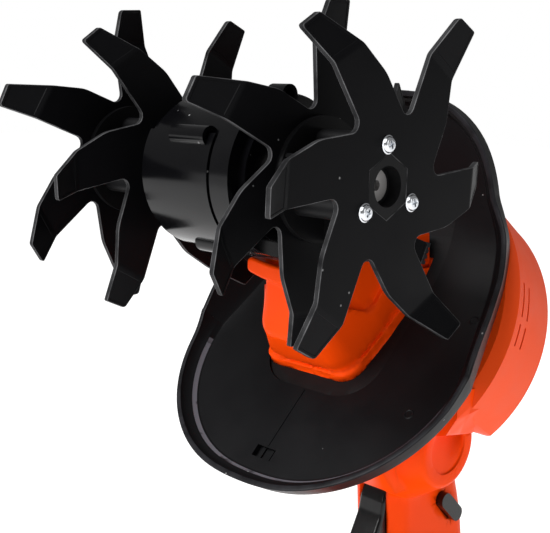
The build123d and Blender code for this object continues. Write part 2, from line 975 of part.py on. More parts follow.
with BuildPart() as neck:
    add(neck_form(0))
    with BuildSketch(level_plane(neck_front, 0)) as plan:
        with BuildLine():
            Polyline(
                *both_sides(((neck_front_half_width, 0), (neck_front_half_width + 12, neck_reach))),
                close=True,
            )
        make_face()
        fillet(plan.vertices().group_by(Axis.Y)[0], neck_edge_round)
    extrude(amount=2 * neck_reach, both=True, mode=Mode.INTERSECT)
with BuildPart() as hollows:
    add(side_prism(recess_points, 2 * neck_half_width))
    add(neck_form(-recess_depth), mode=Mode.SUBTRACT)
with BuildPart() as bead:
    add(neck_form(bead_width))
    with BuildSketch(floor_plane.offset(bead_low)):
        with Locations((0, bead_end_run - neck_top_run / 2)):
            Rectangle(4 * neck_half_width, neck_top_run)
    extrude(amount=bead_high - bead_low, mode=Mode.INTERSECT)

# ---- ribbed pads let into the neck's cheeks
pad_top = insert_points[0]
with BuildPart() as grooves:
    with BuildSketch(side):
        with Locations(Location((*pad_top, 0), (0, 0, insert_lean))):
            for count in range(1, insert_groove_count + 1):
                with Locations((30, -insert_groove_pitch * count)):
                    Rectangle(100, insert_groove_width)
    extrude(amount=2 * neck_half_width, both=True)
    add(neck_form(insert_depth - insert_groove_depth - recess_depth), mode=Mode.SUBTRACT)
with BuildPart() as neck_inserts:
    add(side_prism(insert_points, 2 * neck_half_width))
    add(neck_form(insert_depth - recess_depth), mode=Mode.INTERSECT)
    add(neck_form(seat_gap - recess_depth), mode=Mode.SUBTRACT)
    add(grooves.part, mode=Mode.SUBTRACT)
neck_inserts.part.label = "neck_inserts"
export_step(neck_inserts.part, "parts/neck_inserts.step")

# ---- lip: a bar that sags in the middle across the front of the neck, under its mouth
lip_plane = Plane(origin=head_point(lip_front, 0), x_dir=(1, 0, 0), z_dir=(0, -1, 0))
with BuildPart() as lip:
    with BuildSketch(lip_plane) as outline:
        with BuildLine():
            ThreePointArc((-lip_half_width, lip_end_top), (0, lip_middle_top), (lip_half_width, lip_end_top))
            Line((lip_half_width, lip_end_top), (lip_half_width, lip_end_low))
            ThreePointArc((lip_half_width, lip_end_low), (0, lip_middle_low), (-lip_half_width, lip_end_low))
            Line((-lip_half_width, lip_end_low), (-lip_half_width, lip_end_top))
        make_face()
        fillet(outline.vertices(), lip_corner)
    extrude(amount=-lip_depth)
    fillet(lip.faces().sort_by(Axis.Y)[0].edges(), lip_round)

# ---- shoulder: a round flare that narrows to a lobe each side, with a wing up under the drum
with BuildPart() as shoulder:
    with BuildSketch(side):
        with Locations(shoulder_middle):
            Circle(shoulder_base_radius)
    extrude(amount=shoulder_base_x, both=True)
    for sign in (-1, 1):
        with BuildSketch(side.offset(sign * shoulder_base_x)):
            with Locations(shoulder_middle):
                Circle(shoulder_base_radius)
        with BuildSketch(side.offset(sign * lobe_x)):
            with Locations(lobe_middle):
                Circle(lobe_radius)
        loft()
    lobe_faces = shoulder.faces().sort_by(Axis.X)
    fillet(lobe_faces[0].edges() + lobe_faces[-1].edges(), lobe_round)
    for sign in (-1, 1):
        with BuildSketch(side.offset(sign * lobe_x)):
            with Locations(lobe_middle):
                Circle(disc_radius)
        extrude(amount=-sign * disc_recess, mode=Mode.SUBTRACT)
with BuildPart() as wings:
    for sign in (-1, 1):
        add(side_face(wing_root_points, sign * wing_root_x))
        add(side_face(wing_middle_points, sign * wing_middle_x))
        add(side_face(wing_tip_points, sign * wing_tip_x))
        loft(ruled=True)

with BuildPart() as grip:
    for height, front, rear, half_width in grip_sections:
        with BuildSketch(level_plane((front + rear) / 2, height)):
            RectangleRounded(2 * half_width, rear - front, grip_edge_radius)
    loft()
with BuildPart() as foot:
    height, front, rear, half_width = grip_sections[-1]
    with BuildSketch(level_plane((front + rear) / 2, height)):
        RectangleRounded(2 * half_width, rear - front, grip_edge_radius)
    with BuildSketch(level_plane(foot_middle + tine_reach, foot_level)):
        RectangleRounded(foot_width, foot_length, foot_corner)
    loft(ruled=True)
    with BuildSketch(level_plane(foot_middle + tine_reach, foot_level)):
        RectangleRounded(foot_width, foot_length, foot_corner)
    extrude(amount=-foot_height + seat_gap)
    with BuildSketch(level_plane(tine_reach, pack_height - tine_height)):
        with Locations((0, -rail_length / 2)):
            Rectangle(rail_width + 2 * rail_clearance, 2 * rail_length + 2 * rail_clearance)
    extrude(amount=rail_height + rail_clearance, mode=Mode.SUBTRACT)

with BuildPart() as housing:
    add(neck.part)
    add(hollows.part, mode=Mode.SUBTRACT)
    add(bead.part)
    add(side_prism(core_points, core_half_width))
    add(side_prism(tang_points, tang_half_width))
    with BuildSketch(floor_plane):
        with Locations((0, (flange_high + flange_low) / 2)):
            Rectangle(2 * flange_half_width, flange_high - flange_low)
    extrude(amount=-flange_thickness)
    add(shoulder.part)
    add(wings.part)
    add(grip.part)
    add(foot.part)
    add(lip.part)
    add(drum_form(space_profile, seat_gap), mode=Mode.SUBTRACT)
    add(throat_form(pocket_clearance), mode=Mode.SUBTRACT)
    add(along_x(case_radius + pocket_clearance, -60, 60), mode=Mode.SUBTRACT)
    with BuildSketch(side):
        with Locations((slot_rear - 30, (trigger_top + trigger_clearance + slot_low) / 2)):
            Rectangle(60, trigger_top + trigger_clearance - slot_low)
    extrude(amount=trigger_half_width + trigger_clearance, both=True, mode=Mode.SUBTRACT)
    add(button_block(button_inner - seat_gap, button_outer, trigger_clearance), mode=Mode.SUBTRACT)
    add(housing_screws_form(case_hole_radius, 2 * neck_half_width), mode=Mode.SUBTRACT)
for node, keep in (("housing_near", Keep.TOP), ("housing_far", Keep.BOTTOM)):
    with BuildPart() as half:
        add(housing.part)
        split(bisect_by=Plane.YZ, keep=keep)
    half.part.label = node
    export_step(half.part, f"parts/{node}.step")

# ---- collar that fills the guard's opening round the neck
with BuildPart() as guard_collar:
    extrude(band(collar_back, collar_front), amount=opening_half_width, both=True)
    add(opening_form(-collar_clearance), mode=Mode.INTERSECT)
    add(neck_form(collar_clearance), mode=Mode.SUBTRACT)
    add(side_prism(core_points, core_half_width + collar_clearance), mode=Mode.SUBTRACT)
guard_collar.part.label = "guard_collar"
export_step(guard_collar.part, "parts/guard_collar.step")

with BuildPart() as housing_screws:
    add(housing_screws_form(case_screw_radius, case_screw_height))
    for y, z, seat_x in housing_screw_table:
        with BuildSketch(side.offset(seat_x - case_screw_height)):
            with Locations((y, z)):
                RegularPolygon(case_screw_radius / 2, 6)
        extrude(amount=case_screw_slot, mode=Mode.SUBTRACT)
housing_screws.part.label = "housing_screws"
export_step(housing_screws.part, "parts/housing_screws.step")

# ---- trigger and lock-off button
with BuildPart() as trigger:
    add(side_prism(trigger_points, trigger_half_width))
    chamfer(trigger.faces().filter_by(Axis.X).edges(), trigger_edge)
trigger.part.label = "trigger"
export_step(trigger.part, "parts/trigger.step")

with BuildPart() as lock_button:
    add(button_block(button_inner, button_outer, 0))
lock_button.part.label = "lock_button"
export_step(lock_button.part, "parts/lock_button.step")

# ---- battery pack and its latch
with BuildPart() as battery_pack:
    with BuildSketch(Plane.XY):
        RectangleRounded(pack_width, pack_length, pack_corner)
    extrude(amount=pack_height)
    chamfer(battery_pack.faces().sort_by(Axis.Z)[0].edges(), pack_edge)
    with BuildSketch(Plane.XY.offset(pack_seam_height)):
        RectangleRounded(pack_width, pack_length, pack_corner)
        inside = (pack_width - 2 * pack_seam_depth, pack_length - 2 * pack_seam_depth)
        RectangleRounded(*inside, pack_corner - pack_seam_depth, mode=Mode.SUBTRACT)
    extrude(amount=pack_seam_width, mode=Mode.SUBTRACT)
    for sign in (-1, 1):
        with BuildSketch(Plane.YZ.offset(sign * pack_width / 2)):
            with Locations((-pack_rib_reach, pack_seam_height / 2)):
                with GridLocations(pack_rib_pitch, 0, pack_rib_count, 1):
                    SlotOverall(pack_rib_length, pack_rib_width, rotation=90)
        extrude(amount=-sign * pack_rib_depth, mode=Mode.SUBTRACT)
    with BuildSketch(Plane.XY.offset(pack_height)):
        with Locations((0, (rail_length - pack_length) / 2 + 24)):
            Rectangle(rail_width, rail_length)
    extrude(amount=rail_height)
    with BuildSketch(Plane.XY.offset(pack_height - latch_height)):
        with Locations((0, -pack_length / 2)):
            Rectangle(latch_width + 2 * rail_clearance, 2 * latch_depth + 2 * seat_gap)
    extrude(amount=latch_height, mode=Mode.SUBTRACT)
battery_pack.part.label = "battery_pack"
export_step(battery_pack.part, "parts/battery_pack.step")

with BuildPart() as battery_latch:
    with BuildSketch(Plane.XY.offset(pack_height - latch_height + seat_gap)):
        with Locations((0, -pack_length / 2 + (latch_depth - latch_stand) / 2)):
            Rectangle(latch_width, latch_depth + latch_stand)
    extrude(amount=latch_height - seat_gap)
battery_latch.part.label = "battery_latch"
export_step(battery_latch.part, "parts/battery_latch.step")
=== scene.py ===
import bmesh
import bpy
from math import cos, pi, radians, sin, tan
from mathutils import Euler, Matrix, Vector


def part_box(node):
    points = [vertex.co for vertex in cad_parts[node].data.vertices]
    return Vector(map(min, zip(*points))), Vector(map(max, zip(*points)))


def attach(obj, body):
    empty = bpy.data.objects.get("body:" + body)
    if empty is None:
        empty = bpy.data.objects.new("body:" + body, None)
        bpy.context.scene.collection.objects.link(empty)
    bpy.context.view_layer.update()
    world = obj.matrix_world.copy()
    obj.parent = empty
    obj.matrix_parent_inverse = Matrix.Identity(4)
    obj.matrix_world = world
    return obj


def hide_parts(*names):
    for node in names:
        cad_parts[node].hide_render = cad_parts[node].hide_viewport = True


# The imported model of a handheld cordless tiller. It stands on its battery pack and holds its tines up in
# front.
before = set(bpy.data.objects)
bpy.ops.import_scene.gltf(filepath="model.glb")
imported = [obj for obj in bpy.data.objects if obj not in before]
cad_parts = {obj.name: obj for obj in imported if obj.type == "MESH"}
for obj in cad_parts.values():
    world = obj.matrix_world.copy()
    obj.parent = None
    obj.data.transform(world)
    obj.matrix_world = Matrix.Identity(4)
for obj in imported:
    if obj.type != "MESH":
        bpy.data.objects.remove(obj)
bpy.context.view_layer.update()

# ---- housing: two halves moulded in bright orange plastic and screwed together on the middle plane.
# They are the neck, the shoulder behind the guard and the grip. The foot of the neck is full and softly
# rounded where it stands on the guard's floor, and a thin bead runs round it.
shaft_low, shaft_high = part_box("tine_shaft")
shaft_middle = (shaft_low + shaft_high) / 2
floor_angle = radians(44.6)
floor_y, floor_z = cos(floor_angle), sin(floor_angle)
floor_start = Vector((0.05655, -0.12455))
merge_distance = 0.00002
# long edges near the foot are halved, up to this run along the guard's floor and from this height off it
longest_edge, halvings, split_run, split_height = 0.006, 3, 0.075, 0.0005
# the foot: where it ends up the floor, and the height below which it is the neck's passage through the guard
foot_end, foot_bottom = 0.07, 0.0003
# the front of the foot is raised up the floor. This fades along the run, and on the thin lip at its bottom
foot_rise, rise_fade = 0.0028, (0.012, 0.034)
lip_height, lip_fade = 0.0013, (-0.001, 0.006)
# the far front corner is filled, between these distances from the middle plane
# columns: how far, and the heights from the shaft where the fill starts to fade and where it ends
corner_fills = ((0.0055, -0.106, -0.070), (0.0095, -0.120, -0.094))
corner_grow, corner_fade = (0.002, 0.022), (0.034, 0.044)
# the bead round the foot is drawn in towards the neck, between these heights and up to this run
bead_draw, bead_middle = 0.0024, 0.034
bead_bottom, bead_top = (0.0010, 0.0017), (0.0055, 0.0085)
bead_fade = (0.05, 0.065)

# a Mix node set to colours takes a share in socket 0 and colours in 6 and 7, and gives one out in socket 2
mix_share, mix_first, mix_second, mix_result = 0, 6, 7, 2


def new_group(name, inputs, outputs):
    """An empty shader node group with named sockets, and its input and output nodes."""
    group = bpy.data.node_groups.new(name, "ShaderNodeTree")
    for label, kind, value in inputs:
        socket = group.interface.new_socket(name=label, in_out="INPUT", socket_type=kind)
        socket.default_value = value
    for label, kind in outputs:
        group.interface.new_socket(name=label, in_out="OUTPUT", socket_type=kind)
    return group, group.nodes.new("NodeGroupInput"), group.nodes.new("NodeGroupOutput")


def add_node(tree, kind, values=None, **settings):
    """A shader node of one kind, with its settings and the values of its inputs."""
    node = tree.nodes.new("ShaderNode" + kind)
    for label, setting in settings.items():
        setattr(node, label, setting)
    for label, value in (values or {}).items():
        node.inputs[label].default_value = value
    return node


def wire(tree, *pairs):
    """Links pairs of an output socket and an input socket."""
    for source, socket in pairs:
        tree.links.new(source, socket)


# grain: an uneven surface, with patches a little glossier than others
grain_group, grain_in, grain_out = new_group(
    "moulded_grain",
    (
        ("Scale", "NodeSocketFloat", 1400.0),
        ("Depth", "NodeSocketFloat", 0.1),
        ("Patch Scale", "NodeSocketFloat", 30.0),
        ("Rough Low", "NodeSocketFloat", 0.3),
        ("Rough High", "NodeSocketFloat", 0.45),
    ),
    (("Roughness", "NodeSocketFloat"), ("Normal", "NodeSocketVector"), ("Patches", "NodeSocketFloat")),
)
grain_place = add_node(grain_group, "TexCoord")
grain_noise = add_node(grain_group, "TexNoise", {"Detail": 3.0})
grain_bump = add_node(grain_group, "Bump", {"Distance": 0.0002})
grain_patch = add_node(grain_group, "TexNoise", {"Detail": 5.0, "Roughness": 0.62})
grain_range = add_node(grain_group, "MapRange", {"From Min": 0.3, "From Max": 0.7})
wire(
    grain_group,
    (grain_place.outputs["Object"], grain_noise.inputs["Vector"]),
    (grain_place.outputs["Object"], grain_patch.inputs["Vector"]),
    (grain_in.outputs["Scale"], grain_noise.inputs["Scale"]),
    (grain_in.outputs["Patch Scale"], grain_patch.inputs["Scale"]),
    (grain_in.outputs["Depth"], grain_bump.inputs["Strength"]),
    (grain_noise.outputs["Fac"], grain_bump.inputs["Height"]),
    (grain_patch.outputs["Fac"], grain_range.inputs["Value"]),
    (grain_in.outputs["Rough Low"], grain_range.inputs["To Min"]),
    (grain_in.outputs["Rough High"], grain_range.inputs["To Max"]),
    (grain_range.outputs["Result"], grain_out.inputs["Roughness"]),
    (grain_bump.outputs["Normal"], grain_out.inputs["Normal"]),
    (grain_patch.outputs["Fac"], grain_out.inputs["Patches"]),
)


def grained(name, color, rough, specular, grain, grain_scale=1400.0, vary=0.0, metallic=0.0):
    """A moulded, coated or machined finish: grain, glossier patches, and a colour that varies a little."""
    material = bpy.data.materials.new(name)
    material.use_nodes = True
    tree = material.node_tree
    shader = tree.nodes["Principled BSDF"]
    shader.inputs["Specular IOR Level"].default_value = specular
    shader.inputs["Metallic"].default_value = metallic
    surface = add_node(
        tree, "Group", {"Scale": grain_scale, "Depth": grain, "Rough Low": rough[0], "Rough High": rough[1]},
        node_tree=grain_group,
    )
    darker = [channel * (1 - vary) for channel in color]
    paler = [min(channel * (1 + vary), 1.0) for channel in color]
    tone = add_node(tree, "Mix", {mix_first: (*darker, 1.0), mix_second: (*paler, 1.0)}, data_type="RGBA")
    wire(
        tree,
        (surface.outputs["Roughness"], shader.inputs["Roughness"]),
        (surface.outputs["Normal"], shader.inputs["Normal"]),
        (surface.outputs["Patches"], tone.inputs[mix_share]),
        (tone.outputs[mix_result], shader.inputs["Base Color"]),
    )
    return material


def fit_piece(form, name, body, node, material, angle):
    """Turns a bmesh into a piece that rides on a body, and takes a node's place."""
    mesh = bpy.data.meshes.new(name)
    form.to_mesh(mesh)
    form.free()
    mesh.validate()
    mesh.polygons.foreach_set("use_smooth", [True] * len(mesh.polygons))
    mesh.set_sharp_from_angle(angle=radians(angle))
    mesh.materials.append(material)
    piece = bpy.data.objects.new(name, mesh)
    bpy.context.scene.collection.objects.link(piece)
    piece.modifiers.new("flat_faces_stay_flat", "WEIGHTED_NORMAL").keep_sharp = True
    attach(piece, body)
    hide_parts(node)


def eased(value, start, end):
    """0 up to the start, 1 from the end on, and a soft curve between the two."""
    share = min(1.0, max(0.0, (value - start) / (end - start)))
    return share * share * (3 - 2 * share)


def from_floor(point):
    """How far up the guard's floor a point stands, and how far out from it."""
    y = point.y - shaft_middle.y - floor_start.x
    z = point.z - shaft_middle.z - floor_start.y
    return floor_y * y + floor_z * z, floor_y * z - floor_z * y


def fuller_foot(node):
    """A merged copy of a node with the foot raised, its far corner filled and its bead drawn in."""
    shell = bmesh.new()
    shell.from_mesh(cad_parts[node].data)
    bmesh.ops.remove_doubles(shell, verts=shell.verts, dist=merge_distance)
    for halving in range(halvings):
        long_edges = []
        for edge in shell.edges:
            run, out = from_floor((edge.verts[0].co + edge.verts[1].co) / 2)
            if edge.calc_length() > longest_edge and run < split_run and out > split_height:
                long_edges.append(edge)
        if long_edges:
            bmesh.ops.subdivide_edges(shell, edges=long_edges, cuts=1)
            bmesh.ops.triangulate(shell, faces=[face for face in shell.faces if len(face.verts) > 3])
    for vert in shell.verts:
        run, out = from_floor(vert.co)
        if out < foot_bottom or run > foot_end:
            continue
        height = vert.co.z - shaft_middle.z
        to_far_side = -vert.co.x
        off_lip = eased(run, *lip_fade) if out < lip_height else 1.0
        rise = foot_rise * off_lip * (1 - eased(run, *rise_fade))
        fill = sum(amount * (1 - eased(height, low, high)) for amount, low, high in corner_fills)
        fill *= off_lip * eased(to_far_side, *corner_grow) * (1 - eased(to_far_side, *corner_fade))
        draw = bead_draw * eased(out, *bead_bottom) * (1 - eased(out, *bead_top))
        draw *= 1 - eased(run, *bead_fade)
        inward = Vector((to_far_side, bead_middle - run)).normalized()
        climb = rise + draw * inward.y
        vert.co += Vector((draw * inward.x - fill, floor_y * climb, floor_z * climb))
    bmesh.ops.recalc_face_normals(shell, faces=shell.faces)
    return shell


orange_shell = grained(
    "orange_shell", (0.95, 0.066, 0.0015), (0.3, 0.42), specular=0.06, grain=0.1, vary=0.03
)
for half in ("housing_near", "housing_far"):
    fit_piece(fuller_foot(half), half + "_shell", "body", half, orange_shell, angle=35)


# ---- housing screws: five of blackened steel with a hexagon recess, sunk in bores in the far half, where
# only their dull heads are seen. They pull the two halves together.
def dress(node, material):
    """Gives a node whose shape is right as it is a better finish."""
    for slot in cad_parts[node].material_slots:
        slot.material = material


dull_black = grained("dull_black", (0.005, 0.005, 0.0055), (0.42, 0.55), specular=0.12, grain=0.2)
dress("housing_screws", dull_black)

# ---- neck pads: soft dark grey rubber with ribs, one in each flank of the neck.
# Each is let into a recess and held by its edges.
pad_grey = grained("pad_grey", (0.045, 0.045, 0.05), (0.45, 0.6), specular=0.35, grain=0.2)
dress("neck_inserts", pad_grey)

# ---- gear case: two glossy black mouldings that close on the gears and meet at a seam round the case.
# Screws in bosses hold them together, the neck's end holds them, and fine dust lies on them.

# dust: sparse pale specks on a dark surface
dust_group, dust_in, dust_out = new_group(
    "dust_specks",
    (
        ("Color", "NodeSocketColor", (0.01, 0.01, 0.01, 1.0)),
        ("Dust Color", "NodeSocketColor", (0.3, 0.3, 0.3, 1.0)),
        ("Scale", "NodeSocketFloat", 260.0),
        ("Share", "NodeSocketFloat", 0.05),
        ("Amount", "NodeSocketFloat", 0.6),
    ),
    (("Color", "NodeSocketColor"),),
)
dust_place = add_node(dust_group, "TexCoord")
dust_cells = add_node(dust_group, "TexVoronoi", feature="F1")
dust_size = add_node(dust_group, "Math", {1: 0.14}, operation="LESS_THAN")
dust_pick = add_node(dust_group, "SeparateColor")
dust_few = add_node(dust_group, "Math", operation="LESS_THAN")
dust_both = add_node(dust_group, "Math", operation="MULTIPLY")
dust_strength = add_node(dust_group, "Math", operation="MULTIPLY")
dust_mix = add_node(dust_group, "Mix", data_type="RGBA")
wire(
    dust_group,
    (dust_place.outputs["Object"], dust_cells.inputs["Vector"]),
    (dust_in.outputs["Scale"], dust_cells.inputs["Scale"]),
    (dust_cells.outputs["Distance"], dust_size.inputs[0]),
    (dust_cells.outputs["Color"], dust_pick.inputs["Color"]),
    (dust_pick.outputs["Red"], dust_few.inputs[0]),
    (dust_in.outputs["Share"], dust_few.inputs[1]),
    (dust_size.outputs["Value"], dust_both.inputs[0]),
    (dust_few.outputs["Value"], dust_both.inputs[1]),
    (dust_both.outputs["Value"], dust_strength.inputs[0]),
    (dust_in.outputs["Amount"], dust_strength.inputs[1]),
    (dust_strength.outputs["Value"], dust_mix.inputs[mix_share]),
    (dust_in.outputs["Color"], dust_mix.inputs[mix_first]),
    (dust_in.outputs["Dust Color"], dust_mix.inputs[mix_second]),
    (dust_mix.outputs[mix_result], dust_out.inputs["Color"]),
)


def add_effect(material, effect, values):
    """Passes a material's colour through an effect's group, with values for the group's inputs."""
    tree = material.node_tree
    base = tree.nodes["Principled BSDF"].inputs["Base Color"]
    step = add_node(tree, "Group", values, node_tree=effect)
    wire(tree, (base.links[0].from_socket, step.inputs["Color"]), (step.outputs["Color"], base))


case_black = grained("case_black", (0.0018, 0.0018, 0.0022), (0.12, 0.22), specular=0.2, grain=0.04)
add_effect(case_black, dust_group, {"Share": 0.03})
for half in ("gear_case_near", "gear_case_far"):
    dress(half, case_black)

# ---- guard: one black moulding that keeps soil off the hand, slid over the neck. Its floor folds up into a
# rounded back, and a rim all round leans outwards and grows into a side wing at each end of the fold.
# the fold starts and ends at these runs up the floor, bends about its middle, and the back leans forward
fold_from, fold_radius = 0.078, 0.074
fold_to = fold_from + fold_radius * radians(53.4)
fold_middle = Vector((0.06014, -0.01711))
back_angle = radians(8)
# the guard's outline on the tool's left, from the front of the floor to the top of the back
# columns: across, run up the floor, radius of the corner
guard_side = (
    (0.097, -0.0645, 0.088), (0.097, 0.024, 0.003), (0.0778, 0.1165, 0.060), (0.0674, 0.1397, 0.025),
    (0.0613, 0.1963, 0.050),
)
outline_gap = 0.004
outline_easings = 10
# columns: run up the floor, and how high the rim stands or how far its edge leans out there
rim_heights = (
    (-0.064, 0.0110), (0.004, 0.0113), (0.052, 0.0215), (0.080, 0.0210), (0.135, 0.0110), (0.200, 0.0105),
)
rim_leans = (
    (-0.064, 0.0034), (0.010, 0.0038), (0.056, 0.0095), (0.080, 0.0090), (0.135, 0.0034), (0.200, 0.0030),
)
# columns: share of the lean, offset outwards, share of the height, added height
rim_section = (
    (0.0, -0.0070, 0.0, 0.0003), (0.0, -0.0007, 0.0, 0.0000), (0.0, 0.0000, 0.0, 0.0007),
    (0.5, 0.0000, 0.5, 0.0000), (1.0, 0.0000, 1.0, -0.0008), (1.0, -0.0003, 1.0, -0.0002),
    (1.0, -0.0009, 1.0, 0.0000), (1.0, -0.0024, 1.0, 0.0000), (1.0, -0.0030, 1.0, -0.0003),
    (1.0, -0.0032, 1.0, -0.0010), (0.5, -0.0034, 0.5, 0.0015), (0.0, -0.0038, 0.0, 0.0062),
    (0.0, -0.0044, 0.0, 0.0055), (0.0, -0.0064, 0.0, 0.0034), (0.0, -0.0074, 0.0, 0.0030),
)
# the strips of the rim that are paler: its rounded edge, worn pale, and the chamfer at the foot of its wall,
# which carries a painted highlight that shines only between two depths under the shaft and fades towards both
edge_strips, edge_rub = (5, 6, 7, 8), 0.16
chamfer_strip, chamfer_highlight = 13, 9.0
chamfer_highlight_top, chamfer_highlight_grow = 0.113, 0.018
chamfer_highlight_bottom, chamfer_highlight_fade = 0.168, 0.022
# the sheet inside the rim is tucked into the rim's foot a little, so that no two faces lie on each other
sheet_thickness = 0.003
sheet_inset = 0.0055
sheet_tuck_back, sheet_tuck_front = 0.0001, -0.00005
fold_rows = 14
off_middle = 0.0005  # points of the rim's foot nearer to the middle plane than this are left out
# the neck's opening, and the slot in front of it through which the spring catch is reached
opening_half_width, opening_corner = 0.041, 0.024
opening_start, opening_end = -0.002, 0.1251
clip_slot_half_width = 0.007
clip_slot_start, clip_slot_end = -0.0495, -0.0425
# the catch is a plate with two ribs on it
# columns: across, run up the floor, out from its back, width, length, thickness
clip_catch = (
    (0.0, -0.046, -0.0014, 0.017, 0.0085, 0.0012),
    (-0.0032, -0.046, -0.0014, 0.0024, 0.0085, 0.0022),
    (0.0032, -0.046, -0.0014, 0.0024, 0.0085, 0.0022),
)
middle_seam = (0.0, -0.0225, 0.0030, 0.0012, 0.0385, 0.00035)
pin_marks = ((0.0780, 0.0640), (0.0720, 0.0010))
pin_mark_rings = ((0.0030, 0.0), (0.0024, 0.00025), (0.0018, 0.0))
pin_mark_floor, pin_mark_segments = 0.00295, 28

# worn edges and painted highlights: where the layer "edge" marks a face, the colour turns paler in broken
# runs, both for worn edges and for painted highlights
rub_highlight_group, rub_highlight_in, rub_highlight_out = new_group(
    "rubbed_edges_and_highlights",
    (
        ("Color", "NodeSocketColor", (0.01, 0.01, 0.01, 1.0)),
        ("Rubbed And Highlight Color", "NodeSocketColor", (0.1, 0.1, 0.1, 1.0)),
        ("Scale", "NodeSocketFloat", 90.0),
        ("Amount", "NodeSocketFloat", 0.7),
    ),
    (("Color", "NodeSocketColor"),),
)
rub_highlight_place = add_node(rub_highlight_group, "TexCoord")
rub_highlight_mark = add_node(rub_highlight_group, "Attribute", attribute_name="edge")
rub_highlight_noise = add_node(rub_highlight_group, "TexNoise", {"Detail": 4.0})
rub_highlight_range = add_node(rub_highlight_group, "MapRange", {"From Min": 0.29, "From Max": 0.6})
rub_highlight_with_mark = add_node(rub_highlight_group, "Math", operation="MULTIPLY")
rub_highlight_with_amount = add_node(rub_highlight_group, "Math", operation="MULTIPLY")
rub_highlight_mix = add_node(rub_highlight_group, "Mix", data_type="RGBA")
wire(
    rub_highlight_group,
    (rub_highlight_place.outputs["Object"], rub_highlight_noise.inputs["Vector"]),
    (rub_highlight_in.outputs["Scale"], rub_highlight_noise.inputs["Scale"]),
    (rub_highlight_noise.outputs["Fac"], rub_highlight_range.inputs["Value"]),
    (rub_highlight_range.outputs["Result"], rub_highlight_with_mark.inputs[0]),
    (rub_highlight_mark.outputs["Fac"], rub_highlight_with_mark.inputs[1]),
    (rub_highlight_with_mark.outputs["Value"], rub_highlight_with_amount.inputs[0]),
    (rub_highlight_in.outputs["Amount"], rub_highlight_with_amount.inputs[1]),
    (rub_highlight_with_amount.outputs["Value"], rub_highlight_mix.inputs[mix_share]),
    (rub_highlight_in.outputs["Color"], rub_highlight_mix.inputs[mix_first]),
    (rub_highlight_in.outputs["Rubbed And Highlight Color"], rub_highlight_mix.inputs[mix_second]),
    (rub_highlight_mix.outputs[mix_result], rub_highlight_out.inputs["Color"]),
)
guard_black = grained(
    "guard_black", (0.0046, 0.0046, 0.0052), (0.3, 0.46), specular=0.08, grain=0.1, vary=0.15
)
# this paler colour is the rim's worn edge and the painted highlight on the chamfer at the foot of its wall
add_effect(guard_black, rub_highlight_group, {"Rubbed And Highlight Color": (0.11, 0.108, 0.125, 1.0)})
add_effect(guard_black, dust_group, {"Share": 0.014})


def on_guard(x, run, out):
    """A point of the guard, from its place across, its run up the floor and the fold, and out from it."""
    if run <= fold_from:
        y = floor_start.x + floor_y * run - floor_z * out
        z = floor_start.y + floor_z * run + floor_y * out
    else:
        past_fold = max(0.0, run - fold_to)
        swing = back_angle if past_fold else floor_angle - pi / 2 + (run - fold_from) / fold_radius
        y = fold_middle.x + (fold_radius - out) * cos(swing) - past_fold * sin(swing)
        z = fold_middle.y + (fold_radius - out) * sin(swing) + past_fold * cos(swing)
    return Vector((x, shaft_middle.y + y, shaft_middle.z + z))


def rounded(corners, steps=5):
    """A closed outline whose corners, given as (x, y, radius), are turned into arcs."""
    outline = []
    for index, (x, y, radius) in enumerate(corners):
        here = Vector((x, y))
        before = (Vector(corners[index - 1][:2]) - here).normalized()
        after = (Vector(corners[(index + 1) % len(corners)][:2]) - here).normalized()
        half = before.angle(after) / 2
        nearly_straight = half > pi / 2 - 0.01
        if radius == 0 or nearly_straight:
            outline.append(here)
            continue
        centre = here + (before + after).normalized() * radius / sin(half)
        start = here + before * radius / tan(half) - centre
        end = here + after * radius / tan(half) - centre
        turn = start.angle(end)
        for step in range(steps + 1):
            share = step / steps
            spoke = (start * sin((1 - share) * turn) + end * sin(share * turn)) / sin(turn)
            outline.append(centre + spoke)
    return outline


def finely(points, gap):
    """The same closed outline with points added wherever two lie further apart than the gap."""
    fine = []
    for start, end in zip(points, points[1:] + points[:1]):
        parts = max(1, round((end - start).length / gap))
        fine += [start.lerp(end, part / parts) for part in range(parts)]
    return fine


def outwards(outline, index):
    """The direction out of a closed outline at one of its points."""
    tangent = outline[(index + 1) % len(outline)] - outline[index - 1]
    return Vector((tangent.y, -tangent.x)).normalized()


def along_table(table, at):
    """A value read off a table of (place, value) pairs, eased between its rows."""
    value = table[0][1]
    for (low, first), (high, second) in zip(table, table[1:]):
        if at > low:
            value = first + (second - first) * eased(at, low, high)
    return value


def pull_out(form, faces, move):
    """Extrudes faces by a move, and keeps the faces they started from as the other side."""
    lifted = bmesh.ops.extrude_face_region(form, geom=faces, use_keep_orig=True)
    raised = [part for part in lifted["geom"] if isinstance(part, bmesh.types.BMVert)]
    bmesh.ops.translate(form, verts=raised, vec=move)


def add_form(whole, part):
    """Adds one bmesh to another."""
    kept = bpy.data.meshes.new("part")
    part.to_mesh(kept)
    part.free()
    whole.from_mesh(kept)
    bpy.data.meshes.remove(kept)


def all_parts(form):
    """Every vertex, edge and face of a bmesh, as the operators that cut and mirror take them."""
    return form.verts[:] + form.edges[:] + form.faces[:]


def cut_across(form, place, direction):
    """Cuts every face that a plane crosses along that plane."""
    bmesh.ops.bisect_plane(form, geom=all_parts(form), plane_co=place, plane_no=direction, dist=1e-7)


other_side = [(-x, run, radius) for x, run, radius in reversed(guard_side)]
guard_outline = finely(rounded([*guard_side, *other_side], steps=16), outline_gap)
for easing in range(outline_easings):
    guard_outline = [
        (guard_outline[index - 1] + point * 2 + guard_outline[(index + 1) % len(guard_outline)]) / 4
        for index, point in enumerate(guard_outline)
    ]

